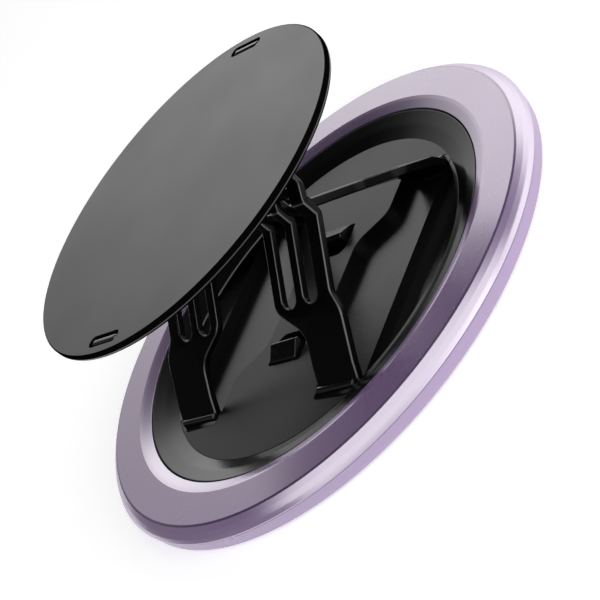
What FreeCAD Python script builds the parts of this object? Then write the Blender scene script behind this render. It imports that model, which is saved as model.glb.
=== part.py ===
import FreeCAD, Part
import Sketcher
import math
import os

# Fold-flat magnetic phone grip, standing open.
# Frame: origin at the centre of the phone-side face, +Z away from the phone.
# X runs along the leg hinges, Y runs from the near hinge to the far hinge.

doc = FreeCAD.newDocument("phone_grip")
V = FreeCAD.Vector

SIZES = [
    # outer ring and the base ring under it
    ("ring_r", 28.0, "outer radius of the grip"),
    ("ring_top", 3.0, "height of the ring's top face"),
    ("ring_face_r", 26.75, "outer radius of the flat top face"),
    ("ring_step", 0.06, "drop of the top face's outer edge to the shoulder"),
    ("ring_inner_r", 22.85, "inner radius of the flat top face"),
    ("bore_r", 21.9, "bore of the ring, where the tray sits"),
    ("bore_top", 2.62, "height where the inner bevel ends"),
    ("split_z", 1.72, "parting line between the ring and the base ring"),
    ("wall_t", 0.7, "wall of the two rings"),
    ("edge_c", 0.7, "bevel round the base ring's lower edge"),
    # phone-side pad
    ("pad_t", 0.2, "thickness of the pad"),
    ("pad_r", 26.9, "radius of the pad"),
    # magnets and their steel keeper ring
    ("mag_in", 23.0, "inner radius of the magnet ring"),
    ("mag_out", 26.9, "outer radius of the magnet ring"),
    ("mag_low", 0.65, "underside of the magnets"),
    ("mag_t", 1.15, "thickness of the magnets"),
    ("mag_count", 16, "magnets in the ring"),
    ("mag_gap", 1.2, "gap between magnets in degrees"),
    ("keeper_t", 0.35, "thickness of the keeper ring"),
    # tray
    ("tray_gap", 0.05, "room between the tray and the rings' bore"),
    ("floor_r", 18.85, "radius of the tray floor"),
    ("floor_z", 1.6, "height of the tray floor"),
    ("pocket_z", 0.4, "height of the pocket floors"),
    ("pocket_out", 13.85, "outer side of a pocket"),
    ("pocket_foot", 7.25, "inner side of a pocket at the feet"),
    ("pocket_mid", 3.95, "inner side of a pocket at the crossing"),
    ("pocket_end", 12.5, "end of a pocket, where it runs into the hinge slot"),
    ("pocket_s1", 8.1, "start of the inner step"),
    ("pocket_s2", 5.3, "end of the inner step"),
    ("window_x", 2.6, "half width of a catch window"),
    ("window_in", 3.9, "inner end of a catch window"),
    ("window_out", 9.9, "outer end of a catch window"),
    ("strip_gap", 0.1, "room round the catch strip"),
    ("foot_slot_in", 0.5, "hinge slot, room towards the centre"),
    ("foot_slot_out", 0.95, "hinge slot, room away from the centre"),
    ("foot_slot_z", 0.95, "bottom of the hinge slots"),
    # catch strip
    ("strip_x", 2.3, "half width of the catch strip"),
    ("strip_len", 9.75, "half length of the catch strip"),
    ("strip_t", 0.4, "thickness of the catch strip"),
    ("catch_x", 1.95, "half width of a catch"),
    ("catch_root", 7.6, "root of a catch"),
    ("catch_tip", 5.75, "tip of a catch"),
    ("catch_top", 2.28, "height of a catch's tip"),
    # leg frames
    ("hinge_y", 12.9, "distance of each hinge from the centre"),
    ("open_deg", 38.0, "angle of the legs when open"),
    ("sheet_t", 0.8, "thickness of the leg sheet"),
    ("sheet_low", -0.05, "sheet's underside above its hinge"),
    ("lip_t", 0.4, "thickness of the hinge lip"),
    ("lip_below", 0.2, "depth of the lip below its hinge"),
    ("roll_r", 0.4, "radius of the rolled edge that the leg turns on"),
    ("foot_in", 7.9, "inner edge of a foot"),
    ("foot_out", 13.4, "outer edge of a foot"),
    ("foot_step_in", 5.3, "height up the leg of the inner step's start"),
    ("foot_step_out", 6.5, "height up the leg of the outer step's start"),
    ("web_top", 7.8, "bottom of the slots in the leg"),
    ("step_top", 8.3, "height up the leg where the steps end"),
    ("leg_in", 4.45, "inner edge of the slotted leg"),
    ("leg_out", 12.4, "outer edge of the slotted leg"),
    ("slot1_in", 5.6, "inner slot, inner edge"),
    ("slot1_out", 7.65, "inner slot, outer edge"),
    ("slot2_in", 8.7, "outer slot, inner edge"),
    ("slot2_out", 10.7, "outer slot, outer edge"),
    ("jog_start", 15.6, "start of the joggle"),
    ("jog_end", 16.7, "end of the joggle"),
    ("jog_rise", 1.4, "rise of the joggle"),
    ("taper_start", 18.3, "height up the leg where it starts to narrow"),
    ("upper_rise", 0.123, "rise of the upper leg for each millimetre"),
    ("bar_l", 22.6, "distance of the top bar from the hinge"),
    ("bar_d", 0.7, "diameter of the top bar"),
    ("bar_up", 0.3, "middle of the top bar above the sheet's underside"),
    ("bar_half", 9.1, "half length of the top bar"),
    ("top_out", 9.1, "outer edge of the leg at the top bar"),
    ("slot_top", 20.6, "top of the slots in the leg"),
    ("fstrap1_in", 5.97, "far leg, inner strap, inner edge"),
    ("fstrap1_out", 7.27, "far leg, inner strap, outer edge"),
    ("fstrap2_in", 9.05, "far leg, outer strap, inner edge"),
    ("fstrap2_out", 10.35, "far leg, outer strap, outer edge"),
    ("round_big", 1.6, "rounding of the leg's steps"),
    ("round_slot", 0.9, "rounding of the slot ends"),
    # disc and its slide brackets
    ("disc_r", 19.05, "radius of the disc"),
    ("disc_t", 0.95, "thickness of the disc"),
    ("disc_low", 18.47, "underside of the disc when open"),
    ("disc_bevel", 0.45, "bevel under the disc's rim"),
    ("disc_slot_y", 17.5, "distance of each slot from the centre"),
    ("disc_slot_x", 2.1, "half length of a slot"),
    ("disc_slot_w", 1.0, "width of a slot"),
    ("disc_slot_r", 0.46, "rounding of a slot's ends"),
    ("ear_x", 2.7, "distance of an ear's middle from the centre line"),
    ("ear_t", 0.8, "thickness of an ear"),
    ("ear_in", 2.4, "inner end of an ear"),
    ("ear_lip", 0.35, "metal under the ear's slot"),
    ("ear_slot_in", 2.95, "inner end of the ear's slot"),
    ("ear_slot_out", 10.35, "outer end of the ear's slot"),
    ("ear_slot_h", 1.55, "height of the ear's slot"),
    ("brk_plate_in", 11.2, "inner edge of the bracket plate"),
    ("brk_t", 0.45, "thickness of the bracket plate"),
    ("tab_t", 0.5, "thickness of the bracket's tab"),
    ("tab_x", 1.8, "half width of the bracket's tab"),
    ("tab_down", 0.12, "depth of the tab's end below the disc's top"),
]
sheet = doc.addObject("Spreadsheet::Sheet", "Sizes")
VAL = {}
for row, (alias, value, note) in enumerate(SIZES, start=1):
    sheet.set("A%d" % row, alias)
    sheet.set("B%d" % row, str(value))
    sheet.set("C%d" % row, note)
    sheet.setAlias("B%d" % row, alias)
    VAL[alias] = value
doc.recompute()


class Dim:
    """A size with its value and the formula that gives it."""

    def __init__(self, value, text):
        self.value, self.text = float(value), text

    def __add__(self, other):
        other = dim(other)
        return Dim(self.value + other.value, "(%s + %s)" % (self.text, other.text))

    def __sub__(self, other):
        other = dim(other)
        return Dim(self.value - other.value, "(%s - %s)" % (self.text, other.text))

    def __mul__(self, other):
        other = dim(other)
        return Dim(self.value * other.value, "(%s * %s)" % (self.text, other.text))

    def __neg__(self):
        return Dim(-self.value, "(0 - %s)" % self.text)


def dim(size):
    return size if isinstance(size, Dim) else Dim(size, "%.6g" % size)


def S(alias):
    return Dim(VAL[alias], "Sizes." + alias)


def body_of(label):
    body = doc.addObject("PartDesign::Body", label)
    body.Label = label
    return body


def sketch_on(body, role, name):
    sk = body.newObject("Sketcher::SketchObject", name)
    plane = [o for o in body.Origin.OriginFeatures if o.Role == role][0]
    sk.AttachmentSupport = [(plane, "")]
    sk.MapMode = "FlatFace"
    return sk


def fix(sk, geo, pos, x, y):
    """Place one point of a sketch by sizes from the sheet."""
    for axis, size in (("X", dim(x)), ("Y", dim(y))):
        if abs(size.value) < 1e-9:
            sk.addConstraint(Sketcher.Constraint("PointOnObject", geo, pos, -2 if axis == "X" else -1))
            continue
        n = sk.addConstraint(Sketcher.Constraint("Distance" + axis, -1, 1, geo, pos, size.value))
        if "Sizes." in size.text:
            sk.setExpression("Constraints[%d]" % n, size.text)


def polygon(sk, points):
    pts = [(dim(x), dim(y)) for x, y in points]
    first = sk.GeometryCount
    for i, (x, y) in enumerate(pts):
        nx, ny = pts[(i + 1) % len(pts)]
        sk.addGeometry(Part.LineSegment(V(x.value, y.value, 0), V(nx.value, ny.value, 0)), False)
    for i in range(len(pts)):
        sk.addConstraint(Sketcher.Constraint("Coincident", first + i, 2, first + (i + 1) % len(pts), 1))
    for i, (x, y) in enumerate(pts):
        fix(sk, first + i, 1, x, y)


def circle(sk, x, y, r):
    x, y, r = dim(x), dim(y), dim(r)
    g = sk.addGeometry(Part.Circle(V(x.value, y.value, 0), V(0, 0, 1), r.value), False)
    fix(sk, g, 3, x, y)
    n = sk.addConstraint(Sketcher.Constraint("Radius", g, r.value))
    sk.setExpression("Constraints[%d]" % n, r.text)


def revolve(body, points, name):
    sk = sketch_on(body, "XZ_Plane", name + "_section")
    polygon(sk, points)
    rev = body.newObject("PartDesign::Revolution", name)
    rev.Profile = sk
    rev.ReferenceAxis = (sk, ["V_Axis"])
    rev.Angle = 360.0
    doc.recompute()
    return rev


def volume(feature):
    return feature.Shape.Volume


def pocket_through(body, sk, name):
    """Cut a plan outline right through, up and down."""
    before = volume(body)
    cut = body.newObject("PartDesign::Pocket", name)
    cut.Profile = sk
    cut.Type = "ThroughAll"
    cut.Midplane = True
    doc.recompute()
    if not volume(body) < before - 1e-6:
        raise RuntimeError(name + " cut nothing")
    return cut


def cut_between(body, outlines, low, high, name):
    """Cut plan outlines between two heights."""
    before = volume(body)
    sk = sketch_on(body, "XY_Plane", name + "_outline")
    low, high = dim(low), dim(high)
    sk.AttachmentOffset = FreeCAD.Placement(V(0, 0, high.value), FreeCAD.Rotation())
    if "Sizes." in high.text:
        sk.setExpression("AttachmentOffset.Base.z", high.text)
    for outline in outlines:
        polygon(sk, outline)
    cut = body.newObject("PartDesign::Pocket", name)
    cut.Profile = sk
    cut.Type = "Length"
    cut.setExpression("Length", (high - low).text)
    doc.recompute()
    if not volume(body) < before - 1e-6:
        raise RuntimeError(name + " cut nothing")
    return cut


def fillet_at(body, test, radius, name):
    """Round the edges that a test picks."""
    tip = body.Tip
    names = ["Edge%d" % (i + 1) for i, e in enumerate(tip.Shape.Edges) if test(e)]
    if not names:
        raise RuntimeError(name + " found no edges")
    f = body.newObject("PartDesign::Fillet", name)
    f.Base = (tip, names)
    f.setExpression("Radius", radius.text)
    doc.recompute()
    return f


def upright(edge, spots, tol=0.02):
    """True for a straight edge along the body's Z at one of the spots."""
    if len(edge.Vertexes) != 2:
        return False
    a, b = edge.Vertexes[0].Point, edge.Vertexes[1].Point
    if abs(a.x - b.x) > 1e-4 or abs(a.y - b.y) > 1e-4:
        return False
    return any(abs(abs(a.x) - x) < tol and abs(a.y - y) < tol for x, y in spots)


def mirror_x(points):
    return [(-dim(x), y) for x, y in reversed(points)]


def mirror_y(points):
    return [(x, -dim(y)) for x, y in reversed(points)]


def rect(x0, y0, x1, y1):
    return [(x0, y0), (x1, y0), (x1, y1), (x0, y1)]


parts = []

# ---------------------------------------------------------------- rings
# Cap ring: flat top face, soft outer shoulder, bevelled bore, hollow below.
ring = body_of("outer_ring")
revolve(ring, [
    (S("bore_r"), S("split_z")),
    (S("bore_r"), S("bore_top")),
    (S("ring_inner_r"), S("ring_top")),
    (S("ring_face_r"), S("ring_top")),
    (S("ring_face_r") + 0.16, S("ring_top") - S("ring_step")),
    (S("ring_r") - 0.45, S("ring_top") - 0.62),
    (S("ring_r"), S("split_z") + 0.1),
    (S("ring_r"), S("split_z")),
    (S("ring_r") - S("wall_t"), S("split_z")),
    (S("ring_r") - S("wall_t"), S("split_z") + 0.23),
    (S("ring_r") - S("wall_t") - 0.35, S("ring_top") - S("wall_t")),
    (S("bore_r") + S("wall_t"), S("ring_top") - S("wall_t") * 1.15),
    (S("bore_r") + S("wall_t"), S("split_z")),
], "cap")
parts.append(ring)

# Base ring: open channel that holds the magnets.
base = body_of("base_ring")
revolve(base, [
    (S("bore_r"), S("pad_t")),
    (S("ring_r") - S("edge_c"), S("pad_t")),
    (S("ring_r") - 0.22, S("pad_t") + S("edge_c") * 0.45),
    (S("ring_r") - 0.06, S("pad_t") + S("edge_c")),
    (S("ring_r") - 0.06, S("split_z") - 0.14),
    (S("ring_r") - 0.2, S("split_z")),
    (S("ring_r") - S("wall_t"), S("split_z")),
    (S("ring_r") - S("wall_t"), S("mag_low")),
    (S("bore_r") + S("wall_t"), S("mag_low")),
    (S("bore_r") + S("wall_t"), S("split_z")),
    (S("bore_r"), S("split_z")),
], "channel")
parts.append(base)

# Steel keeper ring on top of the magnets.
keeper = body_of("keeper_ring")
revolve(keeper, rect(S("mag_in"), S("mag_low") + S("mag_t"), S("mag_out"), S("mag_low") + S("mag_t") + S("keeper_t")), "keeper")
parts.append(keeper)

# Arc magnets, a ring of separate solids that share one node.
count = int(VAL["mag_count"])
sweep = 360.0 / count - VAL["mag_gap"]
arcs = []
for i in range(count):
    centre = V(0, 0, VAL["mag_low"])
    arc = Part.makeCylinder(VAL["mag_out"], VAL["mag_t"], centre, V(0, 0, 1), sweep).cut(
        Part.makeCylinder(VAL["mag_in"], VAL["mag_t"], centre, V(0, 0, 1), 360))
    arc.rotate(V(0, 0, 0), V(0, 0, 1), 360.0 / count * i)
    arcs.append(arc)
magnets = doc.addObject("Part::Feature", "ring_magnets")
magnets.Label = "ring_magnets"
magnets.Shape = Part.makeCompound(arcs)
magnets.Placement = FreeCAD.Placement()
parts.append(magnets)

# Soft pad on the phone side.
pad = body_of("phone_pad")
revolve(pad, [(0, 0), (S("pad_r") - 0.15, 0), (S("pad_r"), S("pad_t") * 0.5), (S("pad_r"), S("pad_t")), (0, S("pad_t"))], "pad")
parts.append(pad)

# ---------------------------------------------------------------- tray
# Dished tray: flat floor, flared wall, two leg pockets, hinge slots and catch windows.
tray = body_of("tray")
revolve(tray, [
    (0, S("pad_t")),
    (S("bore_r") - S("tray_gap"), S("pad_t")),
    (S("bore_r") - S("tray_gap"), S("bore_top")),
    (S("bore_r") - 0.15, S("bore_top") - 0.02),
    (S("floor_r") + 1.55, S("floor_z") + 0.42),
    (S("floor_r") + 0.35, S("floor_z") + 0.07),
    (S("floor_r"), S("floor_z")),
    (0, S("floor_z")),
], "dish")
pocket_r = [
    (S("pocket_foot"), -S("pocket_end")),
    (S("pocket_out"), -S("pocket_end")),
    (S("pocket_out"), S("pocket_end")),
    (S("pocket_foot"), S("pocket_end")),
    (S("pocket_foot"), S("pocket_s1")),
    (S("pocket_mid"), S("pocket_s2")),
    (S("pocket_mid"), -S("pocket_s2")),
    (S("pocket_foot"), -S("pocket_s1")),
]
cut_between(tray, [pocket_r, mirror_x(pocket_r)], S("pocket_z"), S("floor_z"), "leg_pockets")
slot_r = rect(S("foot_in") - 0.35, -S("hinge_y") - S("foot_slot_out"), S("foot_out") + 0.35, -S("hinge_y") + S("foot_slot_in"))
cut_between(tray, [slot_r, mirror_x(slot_r), mirror_y(slot_r), mirror_y(mirror_x(slot_r))],
            S("foot_slot_z"), S("floor_z") + 0.5, "hinge_slots")
cut_between(tray, [rect(-S("strip_x") - S("strip_gap"), -S("strip_len") - S("strip_gap"), S("strip_x") + S("strip_gap"), S("strip_len") + S("strip_gap"))],
            S("pad_t"), S("pad_t") + S("strip_t") + S("strip_gap"), "strip_channel")
win = rect(-S("window_x"), -S("window_out"), S("window_x"), -S("window_in"))
cut_between(tray, [win, mirror_y(win)], S("pad_t") + S("strip_t") + S("strip_gap"), S("floor_z"), "catch_windows")
fillet_at(tray, lambda e: upright(e, [
    (VAL["pocket_foot"], VAL["pocket_s1"]), (VAL["pocket_mid"], VAL["pocket_s2"]),
    (VAL["pocket_foot"], -VAL["pocket_s1"]), (VAL["pocket_mid"], -VAL["pocket_s2"])]), S("round_big"), "pocket_rounds")
parts.append(tray)

# Spring strip under the floor, with a raised catch at each end.
strip = body_of("catch_strip")
sk = sketch_on(strip, "YZ_Plane", "strip_profile")
low = S("pad_t")
polygon(sk, [
    (-S("strip_len"), low), (S("strip_len"), low), (S("strip_len"), low + S("strip_t")),
    (S("catch_root") + 0.35, low + S("strip_t")), (S("catch_root") - 0.05, low + S("strip_t") + 0.45),
    (S("catch_tip"), S("catch_top")), (S("catch_tip") - 0.12, S("catch_top") - 0.36),
    (S("catch_root") - 0.62, low + S("strip_t") + 0.3), (S("catch_root") - 0.75, low + S("strip_t")),
    (-S("catch_root") + 0.75, low + S("strip_t")), (-S("catch_root") + 0.62, low + S("strip_t") + 0.3),
    (-S("catch_tip") + 0.12, S("catch_top") - 0.36), (-S("catch_tip"), S("catch_top")),
    (-S("catch_root") + 0.05, low + S("strip_t") + 0.45), (-S("catch_root") - 0.35, low + S("strip_t")),
    (-S("strip_len"), low + S("strip_t")),
])
bar = strip.newObject("PartDesign::Pad", "strip_sheet")
bar.Profile = sk
bar.Midplane = True
bar.setExpression("Length", "2 * Sizes.strip_x")
doc.recompute()
side = rect(S("catch_x"), S("window_in") + 0.2, S("strip_x") + 1, S("window_out") - 0.3)
cut_between(strip, [side, mirror_x(side), mirror_y(side), mirror_y(mirror_x(side))],
            S("pad_t") + S("strip_t"), S("catch_top") + 1, "catch_sides")
parts.append(strip)

# ---------------------------------------------------------------- leg frames


def leg_profile(body, name):
    """Side view of a leg frame in its own plane, hinge at the origin."""
    sk = sketch_on(body, "YZ_Plane", name)
    s, c = math.sin(math.radians(VAL["open_deg"])), math.cos(math.radians(VAL["open_deg"]))
    half = S("lip_t") * 0.5
    below = S("lip_below")
    p1 = (-(below * s) + half * c, -(below * c) - half * s)
    p2 = (-(below * s) - half * c, -(below * c) + half * s)
    t, zl = S("sheet_t"), S("sheet_low")
    up_b = (zl - p1[1]) * (s / c)
    up_t = (zl + t - p2[1]) * (s / c)
    zu = zl + S("jog_rise")
    end = S("bar_l")
    ze = zu + (end - S("jog_end")) * S("upper_rise")
    polygon(sk, [
        p1,
        (p1[0] + up_b, zl),
        (S("jog_start"), zl),
        (S("jog_end"), zu),
        (end, ze),
        (end, ze + t),
        (S("jog_end") - t * 0.42, zu + t),
        (S("jog_start") - t * 0.42, zl + t),
        (p2[0] + up_t, zl + t),
        p2,
    ])
    pad_ = body.newObject("PartDesign::Pad", name + "_sheet")
    pad_.Profile = sk
    pad_.Midplane = True
    pad_.setExpression("Length", "2 * Sizes.foot_out")
    doc.recompute()
    sk = sketch_on(body, "YZ_Plane", name + "_foot")
    circle(sk, 0, 0, S("roll_r"))
    roll = body.newObject("PartDesign::Pad", name + "_roll")
    roll.Profile = sk
    roll.Midplane = True
    roll.setExpression("Length", "2 * Sizes.foot_out")
    doc.recompute()
    return ze


def add_bar(body, ze, name):
    """Round bar along the top edge."""
    sk = sketch_on(body, "YZ_Plane", name)
    circle(sk, S("bar_l"), ze + S("bar_up"), S("bar_d") * 0.5)
    p = body.newObject("PartDesign::Pad", name + "_bar")
    p.Profile = sk
    p.Midplane = True
    p.setExpression("Length", "2 * Sizes.bar_half")
    doc.recompute()


def trim(body, shapes, name):
    sk = sketch_on(body, "XY_Plane", name)
    for shape in shapes:
        polygon(sk, shape)
    pocket_through(body, sk, name + "_cut")


# Near frame: two legs of three straps each, standing on the near hinge.
near = body_of("near_leg_frame")
ze = leg_profile(near, "near_profile")
edge = S("foot_out") + 1
below = -S("foot_step_in")
outer_r = [
    (S("foot_out"), S("foot_step_out")), (S("leg_out"), S("step_top")), (S("leg_out"), S("taper_start")),
    (S("top_out"), S("bar_l") - 0.6), (S("top_out"), S("bar_l") + 1), (edge, S("bar_l") + 1), (edge, S("foot_step_out")),
]
inner = [
    (-S("foot_in"), -2), (S("foot_in"), -2), (S("foot_in"), S("foot_step_in")), (S("leg_in"), S("step_top") - 0.4),
    (S("leg_in"), S("bar_l") + 1), (-S("leg_in"), S("bar_l") + 1), (-S("leg_in"), S("step_top") - 0.4), (-S("foot_in"), S("foot_step_in")),
]
slot_a = rect(S("slot1_in"), S("web_top"), S("slot1_out"), S("slot_top"))
slot_b = [(S("slot2_in"), S("web_top")), (S("slot2_out"), S("web_top")), (S("slot2_out"), S("taper_start")),
          (S("slot2_out") - 1.2, S("slot_top") + 0.3), (S("slot2_in"), S("slot_top") + 0.3), (S("slot2_in"), S("taper_start"))]
trim(near, [outer_r, mirror_x(outer_r), inner, slot_a, mirror_x(slot_a), slot_b, mirror_x(slot_b)], "near_outline")
near_rounds = [
    (VAL["foot_out"], VAL["foot_step_out"]), (VAL["leg_out"], VAL["step_top"]),
    (VAL["foot_in"], VAL["foot_step_in"]), (VAL["leg_in"], VAL["step_top"] - 0.4)]
fillet_at(near, lambda e: upright(e, near_rounds), S("round_big"), "near_steps")
fillet_at(near, lambda e: upright(e, [(VAL["slot1_in"], VAL["web_top"]), (VAL["slot1_out"], VAL["web_top"]),
                                      (VAL["slot2_in"], VAL["web_top"]), (VAL["slot2_out"], VAL["web_top"])]), S("round_slot"), "near_slot_ends")
add_bar(near, ze, "near_top")
near.Placement = FreeCAD.Placement(V(0, -VAL["hinge_y"], VAL["floor_z"]), FreeCAD.Rotation(V(1, 0, 0), VAL["open_deg"]))
near.setExpression("Placement.Base.y", "0 - Sizes.hinge_y")
near.setExpression("Placement.Base.z", "Sizes.floor_z")
parts.append(near)

# Far frame: two legs of two straps each, whose straps pass through the near frame's slots.
far = body_of("far_leg_frame")
ze = leg_profile(far, "far_profile")
f_outer = [
    (S("foot_out"), S("foot_step_out")), (S("fstrap2_out"), S("step_top") + 0.9), (S("fstrap2_out"), S("bar_l") + 1),
    (edge, S("bar_l") + 1), (edge, S("foot_step_out")),
]
f_inner = [
    (-S("foot_in"), -2), (S("foot_in"), -2), (S("foot_in"), S("foot_step_in")), (S("fstrap1_in"), S("step_top") - 0.4),
    (S("fstrap1_in"), S("bar_l") + 1), (-S("fstrap1_in"), S("bar_l") + 1), (-S("fstrap1_in"), S("step_top") - 0.4), (-S("foot_in"), S("foot_step_in")),
]
f_slot = rect(S("fstrap1_out"), S("web_top"), S("fstrap2_in"), S("slot_top") + 0.5)
trim(far, [f_outer, mirror_x(f_outer), f_inner, f_slot, mirror_x(f_slot)], "far_outline")
fillet_at(far, lambda e: upright(e, [(VAL["foot_out"], VAL["foot_step_out"]), (VAL["fstrap2_out"], VAL["step_top"] + 0.9)]),
          S("round_big"), "far_steps")
fillet_at(far, lambda e: upright(e, [(VAL["fstrap1_out"], VAL["web_top"]), (VAL["fstrap2_in"], VAL["web_top"])]), S("round_slot") * 0.9, "far_slot_ends")
add_bar(far, ze, "far_top")
far.Placement = FreeCAD.Placement(V(0, VAL["hinge_y"], VAL["floor_z"]), FreeCAD.Rotation(V(0, 0, 1), 180).multiply(FreeCAD.Rotation(V(1, 0, 0), VAL["open_deg"])))
far.setExpression("Placement.Base.y", "Sizes.hinge_y")
far.setExpression("Placement.Base.z", "Sizes.floor_z")
parts.append(far)

# ---------------------------------------------------------------- disc
disc = body_of("top_disc")
d0 = S("disc_low")
revolve(disc, [
    (0, d0), (S("disc_r") - S("disc_bevel"), d0), (S("disc_r") - 0.12, d0 + S("disc_bevel") * 0.75),
    (S("disc_r"), d0 + S("disc_bevel")), (S("disc_r"), d0 + S("disc_t") - 0.16), (S("disc_r") - 0.16, d0 + S("disc_t")), (0, d0 + S("disc_t")),
], "plate")
ds = rect(-S("disc_slot_x"), S("disc_slot_y") - S("disc_slot_w") * 0.5, S("disc_slot_x"), S("disc_slot_y") + S("disc_slot_w") * 0.5)
cut_between(disc, [ds, mirror_y(ds)], d0, d0 + S("disc_t"), "tab_slots")
d_near, d_far = VAL["disc_slot_y"] - VAL["disc_slot_w"] * 0.5, VAL["disc_slot_y"] + VAL["disc_slot_w"] * 0.5
fillet_at(disc, lambda e: upright(e, [(VAL["disc_slot_x"], y) for y in (d_near, d_far, -d_near, -d_far)]), S("disc_slot_r"), "slot_ends")
parts.append(disc)


def bracket(label, turn):
    """Slide bracket: two slotted ears under the disc, and a tab up through the disc's slot."""
    b = body_of(label)
    sk = sketch_on(b, "YZ_Plane", label + "_side")
    top = S("disc_low")
    slot_low = top - S("ear_slot_h")
    end = S("disc_slot_y") + S("tab_t") * 0.5
    polygon(sk, [(S("ear_in"), slot_low - S("ear_lip")), (S("ear_slot_out") + 0.9, slot_low - S("ear_lip")),
                 (end - 2.6, top - S("brk_t")), (end, top - S("brk_t")), (end, top), (S("ear_in"), top)])
    polygon(sk, [(S("ear_slot_in"), slot_low), (S("ear_slot_out"), slot_low), (S("ear_slot_out"), top - 0.02), (S("ear_slot_in"), top - 0.02)])
    p = b.newObject("PartDesign::Pad", label + "_block")
    p.Profile = sk
    p.Midplane = True
    p.setExpression("Length", "2 * Sizes.ear_x + Sizes.ear_t")
    doc.recompute()
    gap = S("ear_x") - S("ear_t") * 0.5
    cut_between(b, [rect(-gap, S("ear_in") - 1, gap, S("brk_plate_in"))], slot_low - S("ear_lip") - 1, top + 1, label + "_gap")
    cut_between(b, [rect(-gap, S("brk_plate_in") - 1, gap, end + 1)], slot_low - S("ear_lip") - 1, top - S("brk_t"), label + "_under")
    sk = sketch_on(b, "XY_Plane", label + "_tab")
    sk.AttachmentOffset = FreeCAD.Placement(V(0, 0, VAL["disc_low"] - VAL["brk_t"]), FreeCAD.Rotation())
    sk.setExpression("AttachmentOffset.Base.z", (top - S("brk_t")).text)
    polygon(sk, rect(-S("tab_x"), end - S("tab_t"), S("tab_x"), end))
    p = b.newObject("PartDesign::Pad", label + "_tab_pad")
    p.Profile = sk
    p.setExpression("Length", (S("brk_t") + S("disc_t") - S("tab_down")).text)
    doc.recompute()
    b.Placement = FreeCAD.Placement(V(0, 0, 0), FreeCAD.Rotation(V(0, 0, 1), turn))
    parts.append(b)


bracket("far_slide_bracket", 0)
bracket("near_slide_bracket", 180)

# ---------------------------------------------------------------- checks and files
doc.recompute()
for o in doc.Objects:
    if any(flag in o.State for flag in ("Invalid", "Error")):
        raise RuntimeError("%s failed: %s" % (o.Name, o.State))
os.makedirs("parts", exist_ok=True)
for o in parts:
    shape = o.Shape
    if shape.isNull() or not shape.isValid() or shape.Volume <= 0:
        raise RuntimeError("%s has no valid shape" % o.Label)
for o in parts:
    o.Shape.exportStep("parts/%s.step" % o.Label)
    box = o.Shape.BoundBox
    print("%-20s solids %d volume %.2f  x %.2f..%.2f  y %.2f..%.2f  z %.2f..%.2f" % (
        o.Label, len(o.Shape.Solids), o.Shape.Volume, box.XMin, box.XMax, box.YMin, box.YMax, box.ZMin, box.ZMax))
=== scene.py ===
import bpy, bmesh, math
from mathutils import Vector, Matrix, geometry


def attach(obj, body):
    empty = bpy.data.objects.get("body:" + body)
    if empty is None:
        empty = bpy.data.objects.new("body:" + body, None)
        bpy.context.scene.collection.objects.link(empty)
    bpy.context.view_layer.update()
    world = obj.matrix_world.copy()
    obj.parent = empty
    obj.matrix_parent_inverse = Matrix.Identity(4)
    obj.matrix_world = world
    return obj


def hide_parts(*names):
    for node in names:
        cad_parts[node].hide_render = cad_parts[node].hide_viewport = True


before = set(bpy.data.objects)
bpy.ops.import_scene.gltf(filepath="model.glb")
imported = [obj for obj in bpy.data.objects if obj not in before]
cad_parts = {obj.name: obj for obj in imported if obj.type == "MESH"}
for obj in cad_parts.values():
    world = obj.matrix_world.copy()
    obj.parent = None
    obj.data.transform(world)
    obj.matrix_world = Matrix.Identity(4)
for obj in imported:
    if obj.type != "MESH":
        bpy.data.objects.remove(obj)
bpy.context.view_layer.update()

MM = 0.001

# ------------------------------------------------------------------ sizes in mm, as in the construction
RING_R, RING_TOP, FACE_R, INNER_R, BORE_R, BORE_TOP, SPLIT = 28.0, 3.0, 26.75, 22.85, 21.9, 2.62, 1.72
PAD_T, FLOOR_R, FLOOR_Z, POCKET_Z = 0.2, 18.85, 1.6, 0.4
P_OUT, P_FOOT, P_MID, P_END, P_S1, P_S2 = 13.85, 7.25, 3.95, 12.5, 8.1, 5.3
WIN_X, WIN_IN, WIN_OUT = 2.35, 4.5, 8.1
HINGE_Y, OPEN = 12.9, math.radians(38.0)
T, LOW, LIP_B, ROLL_R = 0.8, -0.05, 0.2, 0.4
FOOT_IN, FOOT_OUT, STEP_IN, STEP_OUT, WEB, STEP_TOP = 7.9, 13.4, 5.3, 6.5, 7.8, 8.3
LEG_IN, LEG_OUT = 4.45, 12.4
SL1, SL2 = (5.6, 7.65), (8.7, 10.7)
JOG0, JOG1, JOG_UP, RISE, TAPER = 15.6, 16.7, 1.4, 0.123, 18.3
BAR_UP, BAR_L, BAR_D, BAR_HALF, TOP_OUT, SLOT_TOP = 0.3, 22.6, 0.7, 9.1, 9.1, 20.6
FS1, FS2 = (5.97, 7.27), (9.05, 10.35)
DISC_R, DISC_T, DISC_LOW = 19.05, 0.95, 18.47
DSLOT_Y, DSLOT_X, DSLOT_W = 17.5, 2.1, 1.0


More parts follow.
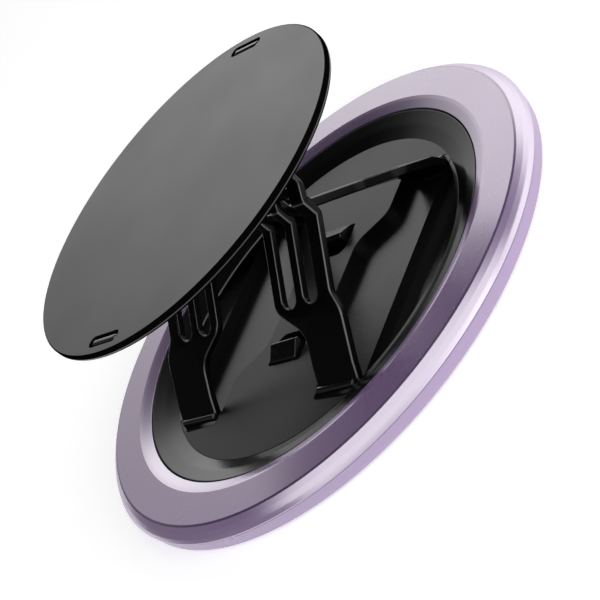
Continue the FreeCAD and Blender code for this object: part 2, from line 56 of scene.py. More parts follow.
# ------------------------------------------------------------------ mesh helpers
def new_object(name, bm, smooth_deg=32, flat_level=False):
    me = bpy.data.meshes.new(name)
    bm.to_mesh(me)
    bm.free()
    for p in me.polygons:
        p.use_smooth = True
    me.set_sharp_from_angle(angle=math.radians(smooth_deg))
    ob = bpy.data.objects.new(name, me)
    bpy.context.scene.collection.objects.link(ob)
    # flat faces keep their own normals next to a rounded rim
    w = ob.modifiers.new("weighted", "WEIGHTED_NORMAL")
    w.mode, w.weight, w.keep_sharp = "FACE_AREA", 100, True
    flat = bpy.data.meshes.new_from_object(ob.evaluated_get(bpy.context.evaluated_depsgraph_get()))
    ob.modifiers.clear()
    ob.data = flat
    bpy.data.meshes.remove(me)
    flat.name = name
    if flat_level:
        own = [c.vector.copy() for c in flat.corner_normals]
        for p in flat.polygons:
            zs = [flat.vertices[i].co.z for i in p.vertices]
            if max(zs) - min(zs) < 1e-8:
                for i in p.loop_indices:
                    own[i] = Vector((0, 0, 1 if p.normal.z > 0 else -1))
        flat.normals_split_custom_set([tuple(v) for v in own])
    return ob


def arc(cx, cy, r, a0, a1, n):
    return [(cx + r * math.cos(math.radians(a0 + (a1 - a0) * i / n)),
             cy + r * math.sin(math.radians(a0 + (a1 - a0) * i / n))) for i in range(n + 1)]


def rounded(points, n=8):
    """Closed outline; each point is (x, y) or (x, y, radius)."""
    out, k = [], len(points)
    for i, p in enumerate(points):
        r = p[2] if len(p) > 2 else 0
        c = Vector(p[:2])
        if r <= 0:
            out.append((c.x, c.y))
            continue
        a = (Vector(points[i - 1][:2]) - c)
        b = (Vector(points[(i + 1) % k][:2]) - c)
        la, lb = a.length, b.length
        a.normalize(); b.normalize()
        half = math.acos(max(-1, min(1, a.dot(b)))) / 2
        d = min(r / math.tan(half), la * 0.499, lb * 0.499)
        r = d * math.tan(half)
        mid = (a + b).normalized() * (r / math.sin(half))
        cen = c + mid
        s, e = c + a * d - cen, c + b * d - cen
        a0 = math.atan2(s.y, s.x)
        da = math.atan2(e.y, e.x) - a0
        while da > math.pi: da -= 2 * math.pi
        while da < -math.pi: da += 2 * math.pi
        for j in range(n + 1):
            t = a0 + da * j / n
            out.append((cen.x + r * math.cos(t), cen.y + r * math.sin(t)))
    return out


def area2(pts):
    return sum(pts[i - 1][0] * pts[i][1] - pts[i][0] * pts[i - 1][1] for i in range(len(pts)))


def inset(pts, d):
    """Move a closed outline to its left by d."""
    out, k = [], len(pts)
    for i in range(k):
        p, c, q = Vector(pts[i - 1]), Vector(pts[i]), Vector(pts[(i + 1) % k])
        e1, e2 = (c - p), (q - c)
        if e1.length < 1e-9: e1 = e2.copy()
        if e2.length < 1e-9: e2 = e1.copy()
        e1.normalize(); e2.normalize()
        n1, n2 = Vector((-e1.y, e1.x)), Vector((-e2.y, e2.x))
        m = n1 + n2
        m = n1 if m.length < 1e-6 else m / max(0.35, (1 + n1.dot(n2)))
        out.append((c.x + m.x * d, c.y + m.y * d))
    return out


def inside(x, y, loops):
    """Even-odd test against a set of closed outlines."""
    odd = False
    for lp in loops:
        for (x0, y0), (x1, y1) in zip(lp, lp[1:] + lp[:1]):
            if (y0 > y) != (y1 > y) and x < x0 + (x1 - x0) * (y - y0) / (y1 - y0):
                odd = not odd
    return odd


def plate(outer, holes, z0, z1, top_r=0.1, low_r=0.1, steps=3, low_face=True):
    """Flat plate with holes and rounded rims, as a bmesh in millimetres."""
    loops = [list(outer) if area2(outer) > 0 else list(reversed(outer))]
    loops += [list(h) if area2(h) < 0 else list(reversed(h)) for h in holes]
    bm = bmesh.new()
    tops, lows = [], []
    for lp in loops:
        rows = []
        if low_r > 0:
            rows += [(low_r * (1 - math.sin(math.radians(90 * i / steps))), z0 + low_r * (1 - math.cos(math.radians(90 * i / steps)))) for i in range(steps + 1)]
        else:
            rows += [(0, z0)]
        if top_r > 0:
            rows += [(top_r * (1 - math.cos(math.radians(90 * i / steps))), z1 - top_r * (1 - math.sin(math.radians(90 * i / steps)))) for i in range(steps + 1)]
        else:
            rows += [(0, z1)]
        rings = []
        for d, z in rows:
            q = inset(lp, d) if d > 1e-9 else lp
            rings.append([bm.verts.new((x, y, z)) for x, y in q])
        first = len(rings) - (steps + 1 if top_r > 0 else 1)
        for k, (a, b) in enumerate(zip(rings, rings[1:])):
            for i in range(len(a)):
                j = (i + 1) % len(a)
                f = bm.faces.new((a[i], a[j], b[j], b[i]))
                f.material_index = 1 if k >= first else 0
        tops.append(rings[-1]); lows.append(rings[0])
    for rings, flip in ((tops, False), (lows, True)):
        if flip and not low_face:
            continue
        verts = [v for r in rings for v in r]
        edges, base = [], 0
        for r in rings:
            edges += [(base + i, base + (i + 1) % len(r)) for i in range(len(r))]
            base += len(r)
        co, _, faces, orig, _, _ = geometry.delaunay_2d_cdt([Vector((v.co.x, v.co.y)) for v in verts], edges, [], 1, 1e-7)
        lookup = [verts[o[0]] if o else None for o in orig]
        rims = [[(v.co.x, v.co.y) for v in r] for r in rings]
        for f in faces:
            vs = [lookup[i] for i in f]
            if None in vs or len(set(vs)) < 3:
                continue
            if not inside(sum(v.co.x for v in vs) / len(vs), sum(v.co.y for v in vs) / len(vs), rims):
                continue
            if flip:
                vs.reverse()
            try:
                bm.faces.new(vs)
            except ValueError:
                pass
    bmesh.ops.recalc_face_normals(bm, faces=bm.faces)
    return bm


def lathe(profile, seg=256):
    """Closed section turned about Z, in millimetres."""
    bm = bmesh.new()
    rings = []
    for r, z in profile:
        if r < 1e-9:
            rings.append([bm.verts.new((0, 0, z))])
        else:
            rings.append([bm.verts.new((r * math.cos(2 * math.pi * i / seg), r * math.sin(2 * math.pi * i / seg), z)) for i in range(seg)])
    k = len(rings)
    for a, b in [(rings[i], rings[(i + 1) % k]) for i in range(k)]:
        for i in range(seg):
            j = (i + 1) % seg
            if len(a) == 1 and len(b) == 1:
                continue
            if len(a) == 1:
                bm.faces.new((a[0], b[j], b[i]))
            elif len(b) == 1:
                bm.faces.new((a[i], a[j], b[0]))
            else:
                bm.faces.new((a[i], a[j], b[j], b[i]))
    bmesh.ops.recalc_face_normals(bm, faces=bm.faces)
    return bm


def corner(p, c, q, r, n=6):
    """Points that round the corner c of a section between p and q."""
    return rounded([(p[0], p[1]), (c[0], c[1], r), (q[0], q[1])], n)[1:-1]


def section(points, n=6):
    return rounded(points, n)


def scale_mm(bm):
    bmesh.ops.scale(bm, vec=(MM, MM, MM), verts=bm.verts)
    return bm


# ------------------------------------------------------------------ materials
def nodes_of(name):
    m = bpy.data.materials.new(name)
    m.use_nodes = True
    nt = m.node_tree
    return m, nt, nt.nodes["Principled BSDF"]


def grain(nt, bsdf, scale, strength, distance=0.00002, detail=3.0):
    tc = nt.nodes.new("ShaderNodeTexCoord")
    no = nt.nodes.new("ShaderNodeTexNoise")
    no.inputs["Scale"].default_value = scale
    no.inputs["Detail"].default_value = detail
    bp = nt.nodes.new("ShaderNodeBump")
    bp.inputs["Strength"].default_value = strength
    bp.inputs["Distance"].default_value = distance
    nt.links.new(tc.outputs["Object"], no.inputs["Vector"])
    nt.links.new(no.outputs["Fac"], bp.inputs["Height"])
    nt.links.new(bp.outputs["Normal"], bsdf.inputs["Normal"])
    return tc, no


def ramp(nt, src, stops):
    r = nt.nodes.new("ShaderNodeValToRGB")
    while len(r.color_ramp.elements) < len(stops):
        r.color_ramp.elements.new(0.5)
    for e, (p, c) in zip(r.color_ramp.elements, stops):
        e.position = p
        e.color = (c, c, c, 1) if isinstance(c, (int, float)) else (*c, 1)
    nt.links.new(src, r.inputs["Fac"])
    return r


def finish_material(name, colour, vary, metallic, rough, rough_vary, grain_scale, bump, coat=0.0, coat_rough=0.1, spec=0.5, ior=1.5, tint=(1, 1, 1)):
    """Moulded or coated surface: mottled colour, uneven gloss and a fine grain."""
    m, nt, b = nodes_of(name)
    b.inputs["Metallic"].default_value = metallic
    b.inputs["Specular IOR Level"].default_value = spec
    if coat:
        b.inputs["Coat Weight"].default_value = coat
        b.inputs["Coat Roughness"].default_value = coat_rough
    b.inputs["IOR"].default_value = ior
    b.inputs["Specular Tint"].default_value = (*tint, 1)
    tc, fine = grain(nt, b, grain_scale, bump)
    big = nt.nodes.new("ShaderNodeTexNoise")
    big.inputs["Scale"].default_value = 140.0
    big.inputs["Detail"].default_value = 4.0
    nt.links.new(tc.outputs["Object"], big.inputs["Vector"])
    lo = tuple(max(0, c * (1 - vary)) for c in colour)
    hi = tuple(min(1, c * (1 + vary)) for c in colour)
    col = ramp(nt, big.outputs["Fac"], [(0.3, lo), (0.7, hi)])
    nt.links.new(col.outputs["Color"], b.inputs["Base Color"])
    rr = ramp(nt, big.outputs["Fac"], [(0.25, max(0.02, rough - rough_vary)), (0.75, min(1, rough + rough_vary))])
    nt.links.new(rr.outputs["Color"], b.inputs["Roughness"])
    return m


def worn_edges(m, colour, amount, width):
    """Lighter, barer metal along a coated part's edges."""
    nt = m.node_tree
    b = nt.nodes["Principled BSDF"]
    geo = nt.nodes.new("ShaderNodeNewGeometry")
    edge = ramp(nt, geo.outputs["Pointiness"], [(0.5 + width * 0.35, 0.0), (0.5 + width, amount)])
    mix = nt.nodes.new("ShaderNodeMix")
    mix.data_type = "RGBA"
    src = b.inputs["Base Color"].links[0].from_socket
    nt.links.new(edge.outputs["Color"], mix.inputs["Factor"])
    nt.links.new(src, mix.inputs["A"])
    mix.inputs["B"].default_value = (*colour, 1)
    nt.links.new(mix.outputs["Result"], b.inputs["Base Color"])
    return m


SHEEN = (0.98, 0.93, 1.0)
M_LILAC = finish_material("lilac_satin", (0.29, 0.18, 0.37), 0.02, 0.0, 0.27, 0.012, 9000.0, 0.001, ior=5.3, tint=SHEEN)
# lighter, glossier copy of the lilac for the outer shoulder: its lighter colour is painted light
M_BAND_LIT = finish_material("lilac_band_painted_light", (0.37, 0.23, 0.48), 0.02, 0.0, 0.25, 0.02, 9000.0, 0.001, ior=6.2, tint=(0.99, 0.955, 1.0))
# much darker copy of the lilac for the top face's rounded outer edge: a painted shade line
M_LILAC_SHADE_LINE = finish_material("lilac_painted_shade_line", (0.11, 0.068, 0.15), 0.02, 0.0, 0.18, 0.02, 9000.0, 0.001, ior=3.0)
# lighter copy of the lilac for the inner bevel and bore: a painted highlight line
M_BEVEL_LIT = finish_material("lilac_bevel_painted_highlight", (0.34, 0.22, 0.44), 0.02, 0.0, 0.20, 0.02, 9000.0, 0.001, ior=6.5, tint=SHEEN)
M_LOWER = finish_material("lilac_lower", (0.31, 0.19, 0.41), 0.02, 0.0, 0.26, 0.02, 7000.0, 0.001, ior=2.8)
M_TRAY = finish_material("tray_black", (0.006, 0.006, 0.0063), 0.15, 0.0, 0.33, 0.015, 6000.0, 0.002, spec=0.45)
M_POCKET = finish_material("pocket_black", (0.007, 0.007, 0.0073), 0.15, 0.0, 0.27, 0.01, 6000.0, 0.001, spec=0.60)
# darker copy of the tray black for the flared wall and the ledge beside each pocket: painted shade
M_WALL_SHADE = finish_material("tray_wall_painted_shade", (0.004, 0.004, 0.0042), 0.15, 0.0, 0.20, 0.01, 6000.0, 0.002, spec=0.45)
M_LEG = worn_edges(finish_material("leg_black", (0.0026, 0.0026, 0.0027), 0.15, 0.0, 0.17, 0.03, 8000.0, 0.006, spec=0.12), (0.008, 0.008, 0.008), 0.4, 0.08)
# lighter, shinier copy of the leg black for top rims, hinge rolls and hook rims: painted highlight lines
M_EDGE_HIGHLIGHT = finish_material("leg_edge_painted_highlight", (0.006, 0.006, 0.006), 0.15, 0.0, 0.19, 0.03, 8000.0, 0.006, ior=1.9)
# darker, duller black for the pocket walls and rims: painted shade
M_WELL_SHADE = finish_material("pocket_wall_painted_shade", (0.0025, 0.0025, 0.0026), 0.15, 0.0, 0.34, 0.05, 6000.0, 0.012, spec=0.2)
M_DISC = finish_material("disc_black", (0.030, 0.030, 0.030), 0.04, 0.0, 0.36, 0.03, 9000.0, 0.012, ior=1.85)
# far darker black for the disc's rim, top rounding and slot walls: painted shade
M_RIM_SHADE = finish_material("disc_rim_painted_shade", (0.002, 0.002, 0.002), 0.15, 0.0, 0.15, 0.03, 8000.0, 0.004, spec=0.0)
M_TAB = finish_material("tab_gloss_black", (0.004, 0.004, 0.004), 0.15, 0.0, 0.10, 0.02, 8000.0, 0.004, ior=2.3)
# glossy black for one ring of the rim's lower rounding: a painted highlight line
M_RIM_HIGHLIGHT = finish_material("disc_rim_painted_highlight", (0.003, 0.003, 0.003), 0.15, 0.0, 0.14, 0.03, 8000.0, 0.004, ior=1.6)
M_CATCH = finish_material("catch_black", (0.004, 0.004, 0.0042), 0.15, 0.0, 0.24, 0.03, 8000.0, 0.006, ior=1.65)
M_PAD = finish_material("pad_silicone", (0.05, 0.05, 0.055), 0.15, 0.0, 0.75, 0.08, 5000.0, 0.3, spec=0.3)
M_STEEL = finish_material("sheet_steel", (0.55, 0.55, 0.56), 0.06, 1.0, 0.3, 0.06, 7000.0, 0.1)
M_MAG = finish_material("magnet_plating", (0.62, 0.62, 0.63), 0.05, 1.0, 0.2, 0.05, 7000.0, 0.08)


def paint(ob, *mats):
    if len(ob.data.materials):
        ob.data.materials.clear()
    for m in mats:
        ob.data.materials.append(m)


# ------------------------------------------------------------------ rings
bm = lathe(section([
    (BORE_R, SPLIT), (BORE_R, BORE_TOP, 0.05), (INNER_R, RING_TOP - 0.09, 0.05), (INNER_R + 0.36, RING_TOP, 0.05), (FACE_R - 0.04, RING_TOP, 0.34),
    (FACE_R + 0.13, RING_TOP - 0.09, 0.10), (FACE_R + 0.62, RING_TOP - 0.46, 0.9), (RING_R - 0.25, RING_TOP - 0.82, 0.9), (RING_R, SPLIT + 0.1, 0.10), (RING_R, SPLIT, 0.03),
    (RING_R - 0.7, SPLIT), (RING_R - 0.7, SPLIT + 0.23), (RING_R - 1.05, RING_TOP - 0.7), (BORE_R + 0.7, RING_TOP - 0.805), (BORE_R + 0.7, SPLIT),
], 10), 360)
o_ring = new_object("outer_ring_skin", scale_mm(bm), 40)
paint(o_ring, M_LILAC, M_BAND_LIT, M_BEVEL_LIT, M_LILAC_SHADE_LINE)
for p in o_ring.data.polygons:
    if math.hypot(p.center.x, p.center.y) > (FACE_R + 0.08) * MM:
        # outer shoulder: lighter lilac, painted light
        p.material_index = 1
    elif p.center.z < (RING_TOP - 0.002) * MM and math.hypot(p.center.x, p.center.y) < (INNER_R + 0.4) * MM:
        # inner bevel and bore: lighter lilac, painted highlight
        p.material_index = 2
    elif p.center.z < (RING_TOP - 0.002) * MM:
        # rounded outer edge of the top face: darker lilac, painted shade
        p.material_index = 3
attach(o_ring, "base"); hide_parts("outer_ring")

bm = lathe(section([
    (BORE_R, PAD_T), (RING_R - 0.5, PAD_T, 0.08), (RING_R - 0.2, PAD_T + 0.22, 0.12),
    (RING_R - 0.03, SPLIT - 0.06, 0.03), (RING_R - 0.35, SPLIT - 0.06), (RING_R - 0.7, SPLIT), (RING_R - 0.7, 0.65), (BORE_R + 0.7, 0.65), (BORE_R + 0.7, SPLIT), (BORE_R, SPLIT),
], 5), 320)
o_base = new_object("base_ring_skin", scale_mm(bm), 40)
paint(o_base, M_LOWER)
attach(o_base, "base"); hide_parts("base_ring")

# ------------------------------------------------------------------ tray: flared wall, floor with pockets and windows, pocket bottoms
bm = lathe(section([
    (FLOOR_R - 0.4, PAD_T), (BORE_R - 0.16, PAD_T), (BORE_R - 0.16, BORE_TOP - 0.06, 0.04), (BORE_R - 0.28, BORE_TOP - 0.09, 0.06),
    (FLOOR_R + 1.4, FLOOR_Z + 0.52, 6.0), (FLOOR_R, FLOOR_Z - 0.03, 0.02), (FLOOR_R - 0.4, FLOOR_Z - 0.05),
], 8), 320)
o_wall = new_object("tray_wall", scale_mm(bm), 40)
# flared wall painted darker than the floor: painted shade
paint(o_wall, M_WALL_SHADE)
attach(o_wall, "base")

# leg pocket and the hinge slots at its ends, as one opening
SX, SY = FOOT_IN - 0.35, HINGE_Y + 0.95
pocket = rounded([
    (P_FOOT, -P_END, 0.12), (SX, -P_END, 0.12), (SX, -SY, 0.5), (12.75, -SY, 0.2), (P_OUT, -12.75, 0.2),
    (P_OUT, 12.75, 0.2), (13.1, SY - 0.4, 0.2), (SX, SY - 0.4, 0.5), (SX, P_END, 0.12), (P_FOOT, P_END, 0.12),
    (P_FOOT, P_S1, 2.2), (P_MID, P_S2, 2.2), (P_MID, -P_S2, 2.2), (P_FOOT, -P_S1, 2.2)], 12)
mir = lambda pts: [(-x, y) for x, y in reversed(pts)]
flip = lambda pts: [(x, -y) for x, y in reversed(pts)]
window = rounded([(-WIN_X, -WIN_OUT, 0.2), (WIN_X, -WIN_OUT, 0.2), (WIN_X, -WIN_IN, 1.1), (-WIN_X, -WIN_IN, 1.1)], 7)
bm = plate(arc(0, 0, FLOOR_R + 0.02, 0, 358.75, 287), [pocket, mir(pocket), window, flip(window)],
           POCKET_Z - 0.02, FLOOR_Z, 0.07, 0.0, 3)
for v in bm.verts:
    # the ledge outside each pocket falls gently towards it
    if abs(v.co.x) > P_OUT - 0.02 and abs(v.co.y) < 12.4 and v.co.xy.length < FLOOR_R - 0.05 and v.co.z > 1.2:
        v.co.z -= 0.6 * (1 - (v.co.y / 12.4) ** 2)
o_floor = new_object("tray_floor", scale_mm(bm), 35, True)
paint(o_floor, M_TRAY, M_WELL_SHADE, M_WALL_SHADE)
for p in o_floor.data.polygons:
    if abs(p.normal.z) < 0.35:
        # pocket walls and rims: darker black, painted shade
        p.material_index = 1
    elif abs(p.center.x) > P_OUT * MM and abs(p.center.y) < 12.4 * MM:
        # ledge beside each pocket: the darker wall black, painted shade
        p.material_index = 2
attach(o_floor, "base"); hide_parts("tray")
bm = lathe([(0, PAD_T + 0.02), (FLOOR_R, PAD_T + 0.02), (FLOOR_R, POCKET_Z), (0, POCKET_Z)], 128)
o_under = new_object("tray_pocket_floor", scale_mm(bm))
paint(o_under, M_POCKET)
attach(o_under, "base")


# ------------------------------------------------------------------ leg frames
def centre_line():
    """Mid-line of the leg sheet in its own side view, with rounded bends, as (s, y, z, normal)."""
    s_, c_ = math.sin(OPEN), math.cos(OPEN)
    zm = LOW + T / 2
    lip_y = zm * s_ / c_
    pts = [(-LIP_B * s_, -LIP_B * c_), (lip_y, zm), (JOG0, zm), (JOG1, zm + JOG_UP), (BAR_L, zm + JOG_UP + (BAR_L - JOG1) * RISE)]
    radii = [0, 0.5, 0.35, 0.35, 0]
    line = [pts[0]]
    for i in range(1, 4):
        line += corner(pts[i - 1], pts[i], pts[i + 1], radii[i], 7)
    line.append(pts[4])
    # arc length measured so that the lower leg keeps its own heights
    acc = [0.0]
    for a, b in zip(line, line[1:]):
        acc.append(acc[-1] + math.hypot(b[0] - a[0], b[1] - a[1]))
    k = max(i for i, p in enumerate(line) if p[0] < 2.0)
    shift = line[k][0] - acc[k]
    return [(a + shift, p) for a, p in zip(acc, line)]


LINE = centre_line()
S_MIN, S_MAX = LINE[0][0], LINE[-1][0]
BEND, SAG, FOOT_END = 1.9, 7.0, 0.0


def at(s):
    s = max(S_MIN, min(S_MAX, s))
    for (s0, a), (s1, b) in zip(LINE, LINE[1:]):
        if s <= s1 + 1e-9:
            t = (s - s0) / (s1 - s0)
            return Vector((a[0] + (b[0] - a[0]) * t, a[1] + (b[1] - a[1]) * t)), Vector((b[0] - a[0], b[1] - a[1])).normalized()
    return Vector(LINE[-1][1]), Vector((1, 0))


def up_leg(y):
    """Flat length for a height up the leg."""
    best = min(LINE, key=lambda q: abs(q[1][0] - y))
    for (s0, a), (s1, b) in zip(LINE, LINE[1:]):
        if min(a[0], b[0]) <= y <= max(a[0], b[0]) and s1 > 0.5:
            return s0 + (s1 - s0) * (y - a[0]) / (b[0] - a[0])
    return best[0]


def leg_frame(name, outlines, hinge_sign, thick, sag, drop):
    """Bend flat patterns along the side view, add the top bar, and stand the frame on its hinge."""
    total = bmesh.new()
    for outer, holes in outlines:
        bm = plate(outer, holes, -thick / 2, thick / 2, 0.15, 0.14, 5)
        for s in [q[0] for q in LINE[1:-1]] + [BEND, SAG]:
            bmesh.ops.bisect_plane(bm, geom=bm.verts[:] + bm.edges[:] + bm.faces[:], dist=1e-6, plane_co=(0, s, 0), plane_no=(0, 1, 0))
        for v in bm.verts:
            s = v.co.y
            c, d = at(s)
            extra = s - max(S_MIN, min(S_MAX, s))
            n = Vector((-d.y, d.x))
            p = c + n * v.co.z + d * extra
            # the foot sags a little towards its rolled edge, with a bend line
            p.y -= sag * max(0, min(1, (SAG - s) / (SAG - BEND))) + drop * max(0, min(1, (BEND - s) / BEND))
            v.co = (v.co.x, p.x, p.y)
        me = bpy.data.meshes.new("tmp")
        bm.to_mesh(me); bm.free()
        total.from_mesh(me)
        bpy.data.meshes.remove(me)
    zb = LOW + JOG_UP + (BAR_L - JOG1) * RISE + BAR_UP
    prof = [(0, -BAR_HALF)] + arc(0, -BAR_HALF + BAR_D / 2, BAR_D / 2, -90, 0, 6)[1:] + [(BAR_D / 2, BAR_HALF - BAR_D / 2)] + arc(0, BAR_HALF - BAR_D / 2, BAR_D / 2, 0, 90, 6)[1:-1] + [(0, BAR_HALF)]
    rings = []
    seg = 20
    for r, x in prof:
        rings.append([total.verts.new((x, BAR_L, zb))] if r < 1e-9 else [total.verts.new((x, BAR_L + r * math.cos(2 * math.pi * i / seg), zb + r * math.sin(2 * math.pi * i / seg))) for i in range(seg)])
    for a, b in zip(rings, rings[1:]):
        for i in range(seg):
            j = (i + 1) % seg
            if len(a) == 1: total.faces.new((a[0], b[i], b[j]))
            elif len(b) == 1: total.faces.new((a[j], a[i], b[0]))
            else: total.faces.new((a[j], a[i], b[i], b[j]))
    for side in (-1, 1):
        x0, x1 = FOOT_IN, FOOT_OUT - 0.45
        prof = [(0, x0), (ROLL_R - 0.1, x0), (ROLL_R - 0.03, x0 + 0.03), (ROLL_R, x0 + 0.1), (ROLL_R, x1 - 0.1), (ROLL_R - 0.03, x1 - 0.03), (ROLL_R - 0.1, x1), (0, x1)]
        rings = []
        for r, x in prof:
            rings.append([total.verts.new((side * x, 0, 0))] if r < 1e-9 else [total.verts.new((side * x, r * math.cos(2 * math.pi * i / 24), r * math.sin(2 * math.pi * i / 24))) for i in range(24)])
        for a, b in zip(rings, rings[1:]):
            for i in range(24):
                j = (i + 1) % 24
                if len(a) == 1: f = total.faces.new((a[0], b[i], b[j]))
                elif len(b) == 1: f = total.faces.new((a[j], a[i], b[0]))
                else: f = total.faces.new((a[j], a[i], b[i], b[j]))
                # rolls take the edge black: painted highlight
                f.material_index = 1
    bmesh.ops.recalc_face_normals(total, faces=total.faces)
    rot = Matrix.Rotation(OPEN, 4, "X")
    m = Matrix.Translation((0, -HINGE_Y, FLOOR_Z)) @ rot
    if hinge_sign > 0:
        m = Matrix.Rotation(math.pi, 4, "Z") @ m
    bmesh.ops.transform(total, matrix=m, verts=total.verts)
    ob = new_object(name, scale_mm(total), 35)
    # top rims and rolls take the second, lighter and shinier black: painted highlight
    paint(ob, M_LEG, M_EDGE_HIGHLIGHT)
    return ob


u = up_leg
E_TOP = u(BAR_L) - 0.02
near_leg = rounded([
    (FOOT_IN, FOOT_END, 0.25), (FOOT_OUT, FOOT_END, 0.25), (FOOT_OUT, STEP_OUT, 2.2), (LEG_OUT, STEP_TOP, 1.6), (LEG_OUT, u(TAPER), 1.0),
    (TOP_OUT, u(BAR_L - 0.6), 0.6), (TOP_OUT, E_TOP), (LEG_IN, E_TOP), (LEG_IN, STEP_TOP - 0.4, 1.6), (FOOT_IN, STEP_IN, 2.4)], 9)
near_slots = [
    rounded([(SL1[0], WEB, 0.95), (SL1[1], WEB, 0.95), (SL1[1], u(SLOT_TOP), 0.5), (SL1[0], u(SLOT_TOP), 0.5)], 9),
    rounded([(SL2[0], WEB, 0.95), (SL2[1], WEB, 0.95), (SL2[1], u(TAPER), 0.5), (SL2[1] - 1.2, u(SLOT_TOP + 0.3), 0.3), (SL2[0], u(SLOT_TOP + 0.3), 0.3)], 9)]
o_near = leg_frame("near_legs_sheet", [(near_leg, near_slots), (mir(near_leg), [mir(h) for h in near_slots])], -1, T, 0.45, 0.35)
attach(o_near, "near_legs"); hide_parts("near_leg_frame")
far_leg = rounded([
    (FOOT_IN, FOOT_END, 0.25), (FOOT_OUT, FOOT_END, 0.25), (FOOT_OUT, STEP_OUT, 2.2), (FS2[1], STEP_TOP + 0.9, 1.6),
    (FS2[1], E_TOP), (FS1[0], E_TOP), (FS1[0], STEP_TOP - 0.4, 1.4), (FOOT_IN, STEP_IN, 1.4)], 9)
far_slots = [rounded([(FS1[1], WEB, 0.8), (FS2[0], WEB, 0.8), (FS2[0], u(SLOT_TOP + 0.5), 0.5), (FS1[1], u(SLOT_TOP + 0.5), 0.5)], 9)]
o_far = leg_frame("far_legs_sheet", [(far_leg, far_slots), (mir(far_leg), [mir(h) for h in far_slots])], 1, T + 0.15, 0.15, 0.7)
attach(o_far, "far_legs"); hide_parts("far_leg_frame")

# ------------------------------------------------------------------ disc
stadium = rounded([(-DSLOT_X, DSLOT_Y - DSLOT_W / 2, 0.49), (DSLOT_X, DSLOT_Y - DSLOT_W / 2, 0.49), (DSLOT_X, DSLOT_Y + DSLOT_W / 2, 0.49), (-DSLOT_X, DSLOT_Y + DSLOT_W / 2, 0.49)], 10)
bm = plate(arc(0, 0, DISC_R, 0, 358.875, 319), [stadium, flip(stadium)], DISC_LOW, DISC_LOW + DISC_T, 0.14, 0.4, 5)
o_disc = new_object("disc_plate", scale_mm(bm), 35, True)
paint(o_disc, M_DISC, M_RIM_HIGHLIGHT, M_RIM_SHADE)
# rim, rounding and slot walls go darker (painted shade); one row of the lower rounding becomes a painted highlight line
for p in o_disc.data.polygons:
    outside = math.hypot(p.center.x, p.center.y) > (DISC_R - 0.5) * MM
    if p.material_index == 1 or p.normal.z < 0.9:
        p.material_index = 1 if outside and -0.45 < p.normal.z < -0.05 else 2
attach(o_disc, "disc"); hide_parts("top_disc")

# rounded ends of the brackets' tabs, showing in the disc's slots
tab = rounded([(-1.9, DSLOT_Y - 0.36, 0.355), (1.9, DSLOT_Y - 0.36, 0.355), (1.9, DSLOT_Y + 0.36, 0.355), (-1.9, DSLOT_Y + 0.36, 0.355)], 10)
for name, pts in (("far_tab_end", tab), ("near_tab_end", flip(tab))):
    bm = plate(pts, [], DISC_LOW + 0.4, DISC_LOW + DISC_T - 0.015, 0.3, 0.0, 7)
    o_tab = new_object(name, scale_mm(bm), 40)
    paint(o_tab, M_TAB)
    for p in o_tab.data.polygons:
        p.material_index = 0
    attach(o_tab, "disc")

# ------------------------------------------------------------------ catch strip with a hooked tab in each window
total = plate(rounded([(-2.25, -9.7, 0.4), (2.25, -9.7, 0.4), (2.25, 9.7, 0.4), (-2.25, 9.7, 0.4)], 5), [], POCKET_Z + 0.02, 0.6, 0.05, 0.05, 3)
for f in total.faces:
    f.material_index = 0
hook = rounded([(-8.05, 0.55), (-6.6, 0.55), (-6.02, 1.1, 0.3), (-5.95, 2.32, 0.22), (-6.28, 2.62, 0.22), (-8.0, 1.86, 0.3)], 7)
for sign in (1, -1):
    bm = plate(hook, [], -1.9, 1.9, 0.13, 0.13, 5)
    bmesh.ops.transform(bm, matrix=Matrix(((0, 0, -1, 0), (sign, 0, 0, 0), (0, 1, 0, 0), (0, 0, 0, 1))), verts=bm.verts)
    me = bpy.data.meshes.new("tmp")
    bm.to_mesh(me); bm.free()
    total.from_mesh(me)
    bpy.data.meshes.remove(me)
bmesh.ops.recalc_face_normals(total, faces=total.faces)
o_catch = new_object("catch_hooks", scale_mm(total), 35)
# hook rims take the edge black: painted highlight
paint(o_catch, M_CATCH, M_EDGE_HIGHLIGHT)
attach(o_catch, "base"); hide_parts("catch_strip")

# ------------------------------------------------------------------ carried-over nodes
for name, mat in (("keeper_ring", M_STEEL), ("ring_magnets", M_MAG), ("phone_pad", M_PAD),
                  ("far_slide_bracket", M_LEG), ("near_slide_bracket", M_LEG)):
    paint(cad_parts[name], mat)

# ------------------------------------------------------------------ floor, light, camera
bm = bmesh.new()
bmesh.ops.create_grid(bm, x_segments=1, y_segments=1, size=3.0)
floor = new_object("studio_floor", bm)
m, nt, b = nodes_of("floor_white")
b.inputs["Base Color"].default_value = (0.93, 0.93, 0.93, 1)
b.inputs["Roughness"].default_value = 0.9
b.inputs["Emission Color"].default_value = (1, 1, 1, 1)
b.inputs["Emission Strength"].default_value = 0.48
paint(floor, m)

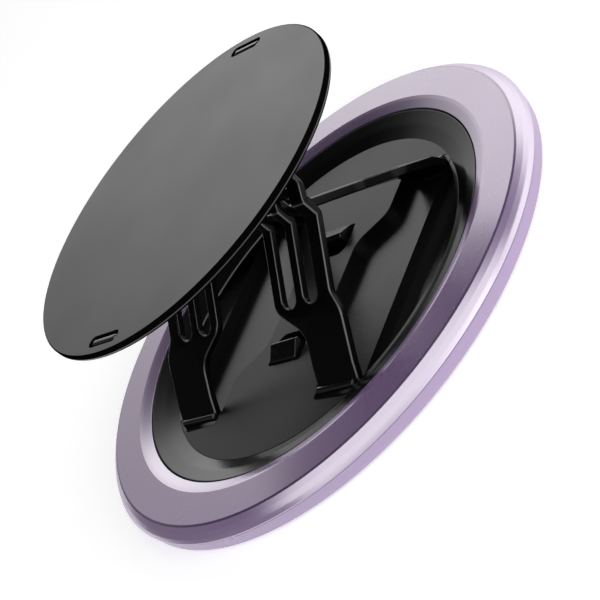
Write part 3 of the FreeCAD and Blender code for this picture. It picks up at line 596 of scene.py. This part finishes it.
world = bpy.data.worlds.new("studio")
bpy.context.scene.world = world
world.use_nodes = True
wn = world.node_tree
bg = wn.nodes["Background"]
tc = wn.nodes.new("ShaderNodeTexCoord")
sep = wn.nodes.new("ShaderNodeSeparateXYZ")
wn.links.new(tc.outputs["Generated"], sep.inputs["Vector"])
sky = ramp(wn, sep.outputs["Z"], [(0.0, 0.75), (0.20, 0.92), (0.48, 0.92), (0.58, 0.18), (0.68, 0.03), (1.0, 0.02)])
dot = wn.nodes.new("ShaderNodeVectorMath")
dot.operation = "DOT_PRODUCT"
dot.inputs[1].default_value = (0.54 * 0.5, 0.84 * 0.5, 0.0)
wn.links.new(tc.outputs["Generated"], dot.inputs[0])
half = wn.nodes.new("ShaderNodeMath")
half.operation = "ADD"
half.inputs[1].default_value = 0.5
wn.links.new(dot.outputs["Value"], half.inputs[0])
side = ramp(wn, half.outputs["Value"], [(0.0, 0.05), (0.20, 0.06), (0.33, 0.14), (0.44, 0.32), (0.56, 0.88), (0.66, 1.0), (1.0, 0.85)])
mul = wn.nodes.new("ShaderNodeMix")
mul.data_type = "RGBA"
mul.blend_type = "MULTIPLY"
mul.inputs["Factor"].default_value = 1.0
wn.links.new(sky.outputs["Color"], mul.inputs["A"])
wn.links.new(side.outputs["Color"], mul.inputs["B"])
wn.links.new(mul.outputs["Result"], bg.inputs["Color"])
bg.inputs["Strength"].default_value = 1.8


def area(name, loc, target, size, power, colour=(1, 1, 1)):
    d = bpy.data.lights.new(name, "AREA")
    d.shape = "RECTANGLE"
    d.size, d.size_y = size
    d.energy = power
    d.color = colour
    o = bpy.data.objects.new(name, d)
    o.location = loc
    o.rotation_euler = (Vector(target) - Vector(loc)).to_track_quat("-Z", "Y").to_euler()
    bpy.context.scene.collection.objects.link(o)
    return o


area("softbox_key", (0.20, -0.187, 0.476), (0, 0, 0.01), (1.2, 0.54), 2.4)

cam = bpy.data.cameras.new("camera")
cam.lens = 108.079
cam.sensor_width = 36.0
cam.clip_start = 0.005
cam.clip_end = 20
co = bpy.data.objects.new("camera", cam)
right = Vector((0.62436946, 0.34302601, -0.70178054))
up = Vector((0.19310674, 0.80274883, 0.56418446))
back = Vector((0.75688345, -0.48777810, 0.43497122))
rot = Matrix((right, up, back)).transposed().to_4x4()
co.matrix_world = Matrix.Translation(Vector((131.633, -86.257, 78.245)) * MM) @ rot
bpy.context.scene.collection.objects.link(co)
bpy.context.scene.camera = co
bpy.context.scene.view_settings.view_transform = "Standard"
